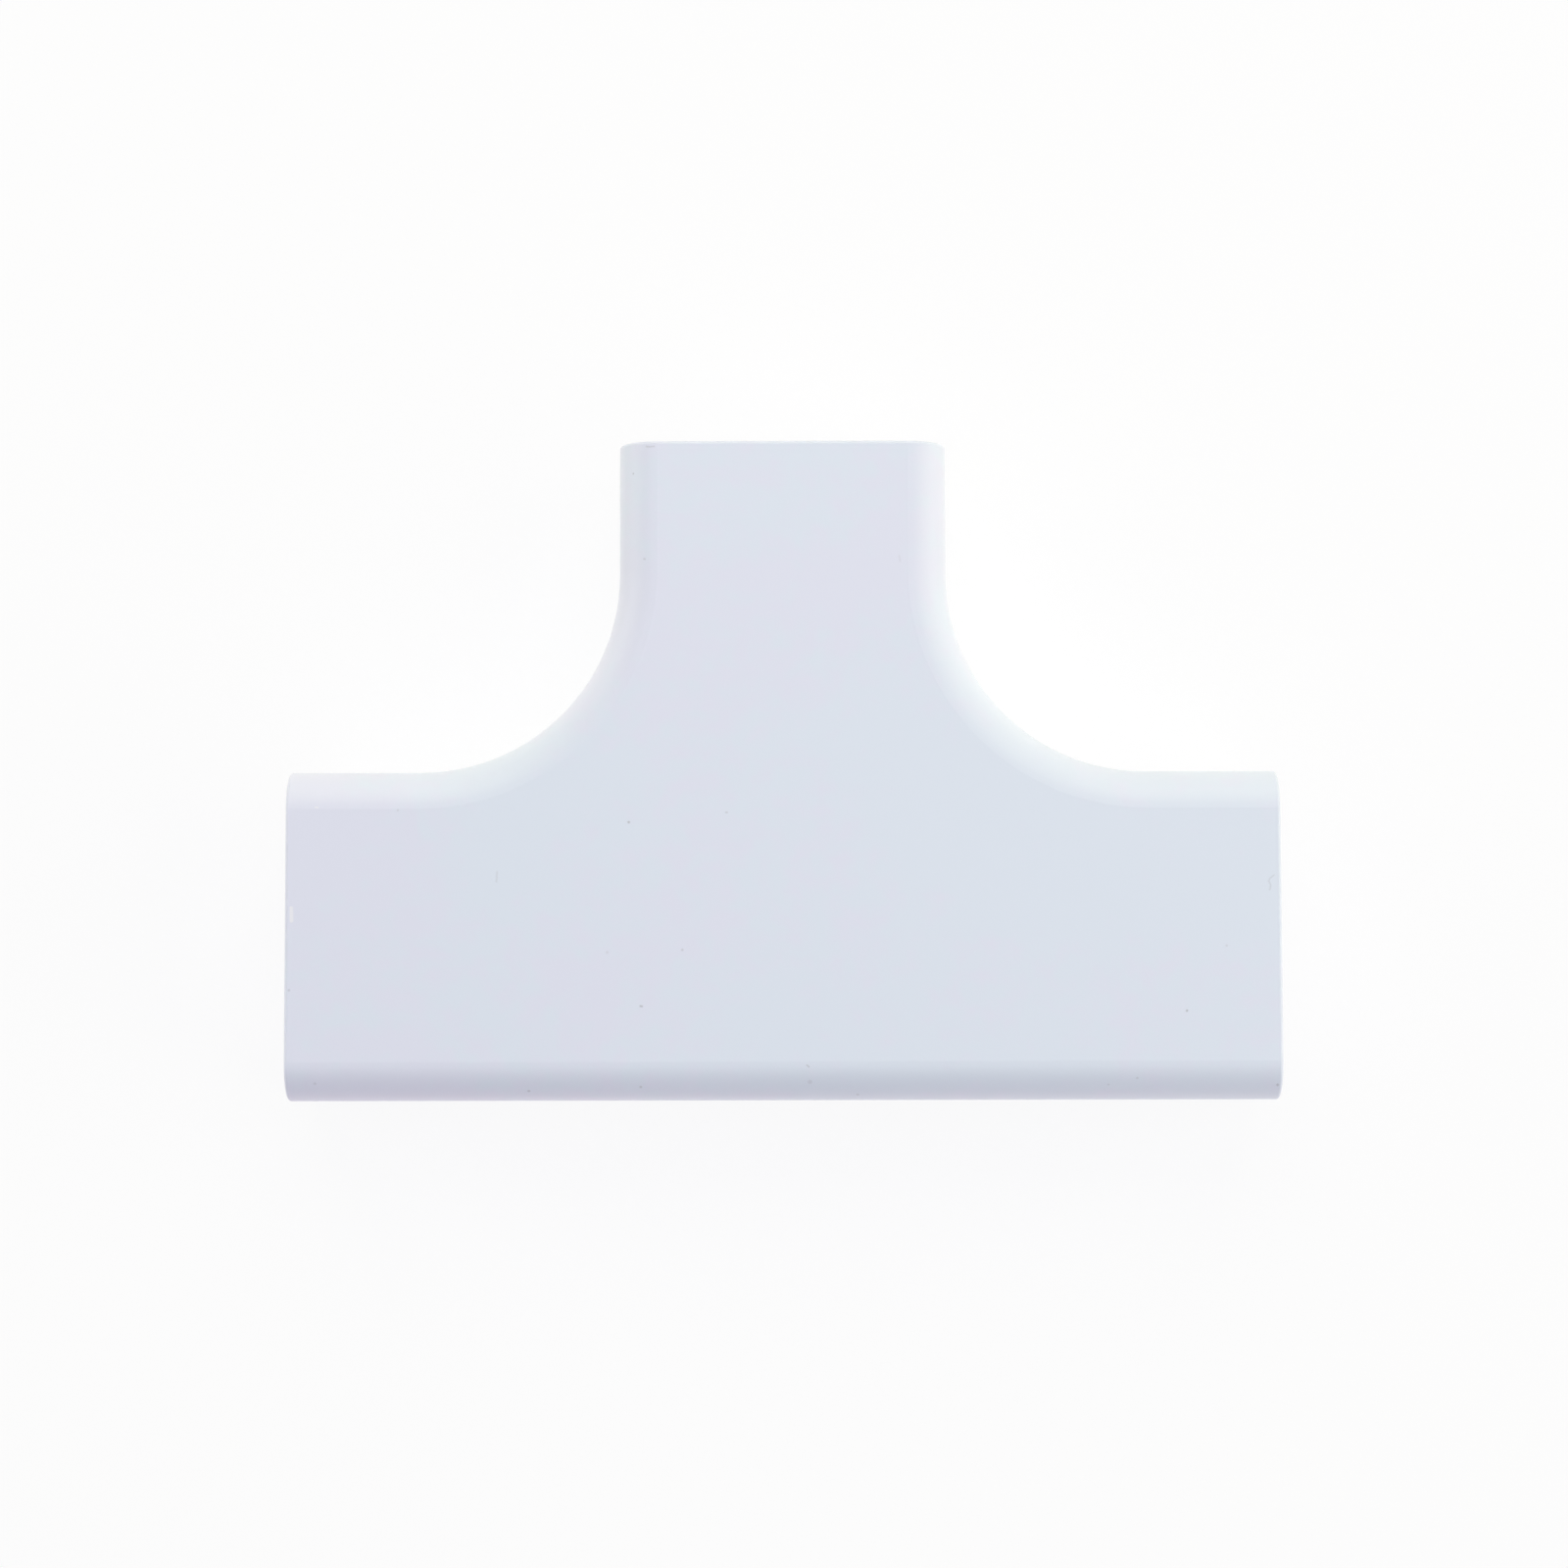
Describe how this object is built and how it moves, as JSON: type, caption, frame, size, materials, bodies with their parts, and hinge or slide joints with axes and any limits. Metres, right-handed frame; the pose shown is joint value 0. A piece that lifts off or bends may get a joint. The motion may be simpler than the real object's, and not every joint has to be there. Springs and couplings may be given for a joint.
{
  "type": "trunking tee cover",
  "caption": "One-piece moulded white tee cover for small surface trunking, open at the back and at its mouths, with rounded long edges and large bend-radius corners.",
  "frame": {"origin": "where the centre lines of the three arms cross, in the plane of the wall that the rim meets", "axes": "+X along the straight run, +Y along the branch, +Z out from the wall"},
  "size_m": [0.1264, 0.0842, 0.027],
  "materials": {
    "white_moulding": "fine satin mould texture"
  },
  "bodies": {
    "root": {"tee_cover": "white_moulding"}
  },
  "joints": []
}
